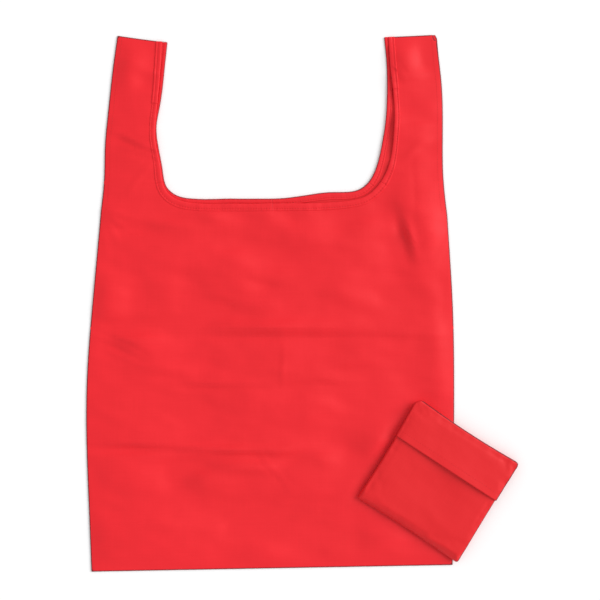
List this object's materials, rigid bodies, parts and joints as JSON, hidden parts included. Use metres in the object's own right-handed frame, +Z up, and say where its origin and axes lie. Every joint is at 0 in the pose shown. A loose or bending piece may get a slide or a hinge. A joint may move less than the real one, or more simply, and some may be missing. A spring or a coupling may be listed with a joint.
{
  "type": "foldable tote bag",
  "caption": "Flat-lying vest-style shopping bag of thin red cloth with two integral handles, bound neckline and a small filled square pouch with a fold-over flap.",
  "frame": {"origin": "underside of the back panel, in the middle of the body, on the surface the bag lies on", "axes": "+X to the bag's right as seen from above, +Y from the bottom seam to the handles, +Z up through the thickness"},
  "size_m": [0.4467, 0.5575, 0.0119],
  "materials": {
    "bag_cloth": "plain-weave polyester taffeta with a low sheen",
    "binding_tape": "folded tape of the same taffeta, stitched",
    "seam_cloth": "turned and stitched taffeta",
    "pouch_cloth": "plain-weave polyester taffeta with a low sheen",
    "packed_cloth": "folded taffeta"
  },
  "bodies": {
    "bag_lower": {"back_panel_lower": "bag_cloth", "front_panel_lower": "bag_cloth", "bottom_seam": "seam_cloth", "left_side_seam_lower": "seam_cloth", "right_side_seam_lower": "seam_cloth"},
    "bag_upper": {"back_panel_upper": "bag_cloth", "back_neck_binding": "binding_tape", "front_panel_upper": "bag_cloth", "front_neck_binding_left": "binding_tape", "front_neck_binding_right": "binding_tape", "left_side_seam_upper": "seam_cloth", "right_side_seam_upper": "seam_cloth", "left_back_hem_root": "seam_cloth", "left_front_hem_root": "seam_cloth", "right_back_hem_root": "seam_cloth", "right_front_hem_root": "seam_cloth"},
    "front_mouth": {"front_panel_mouth": "bag_cloth", "front_neck_binding_middle": "binding_tape"},
    "left_handle": {"left_back_strap": "bag_cloth", "left_back_neck_tape": "binding_tape", "left_back_strap_tape": "binding_tape", "left_back_hem": "seam_cloth", "left_front_strap": "bag_cloth", "left_front_neck_tape": "binding_tape", "left_front_strap_tape": "binding_tape", "left_front_hem": "seam_cloth", "left_strap_top_seam": "seam_cloth"},
    "right_handle": {"right_back_strap": "bag_cloth", "right_back_neck_tape": "binding_tape", "right_back_strap_tape": "binding_tape", "right_back_hem": "seam_cloth", "right_front_strap": "bag_cloth", "right_front_neck_tape": "binding_tape", "right_front_strap_tape": "binding_tape", "right_front_hem": "seam_cloth", "right_strap_top_seam": "seam_cloth"},
    "pouch": {"pouch_back_panel": "pouch_cloth", "pouch_front_panel": "pouch_cloth", "pouch_mouth_hem": "pouch_cloth", "pouch_left_seam": "pouch_cloth", "pouch_right_seam": "pouch_cloth", "pouch_bottom_fold": "pouch_cloth", "pouch_flap_root": "pouch_cloth", "packed_bag": "packed_cloth"},
    "pouch_flap": {"pouch_flap": "pouch_cloth", "pouch_flap_hem": "pouch_cloth"}
  },
  "joints": [
    {"name": "body_fold", "type": "hinge", "parent": "bag_lower", "child": "bag_upper", "pos_m": [0, 0.053, 0.0027], "axis": [-1, 0, 0], "range_deg": [-170, 0]},
    {"name": "mouth_open", "type": "hinge", "parent": "bag_upper", "child": "front_mouth", "pos_m": [0, 0.06, 0.0027], "axis": [1, 0, 0], "range_deg": [0, 25]},
    {"name": "left_handle_fold", "type": "hinge", "parent": "bag_upper", "child": "left_handle", "pos_m": [-0.145, 0.216, 0.0032], "axis": [1, 0, 0], "range_deg": [0, 175]},
    {"name": "right_handle_fold", "type": "hinge", "parent": "bag_upper", "child": "right_handle", "pos_m": [0.145, 0.216, 0.0032], "axis": [1, 0, 0], "range_deg": [0, 175]},
    {"name": "pouch_lift", "type": "slide", "parent": "bag_lower", "child": "pouch", "axis": [0, 0, 1], "range_m": [0, 0.12]},
    {"name": "flap_open", "type": "hinge", "parent": "pouch", "child": "pouch_flap", "pos_m": [0.20362, -0.04778, 0.0111], "axis": [-0.8526, 0.5225, 0], "range_deg": [0, 175]}
  ]
}
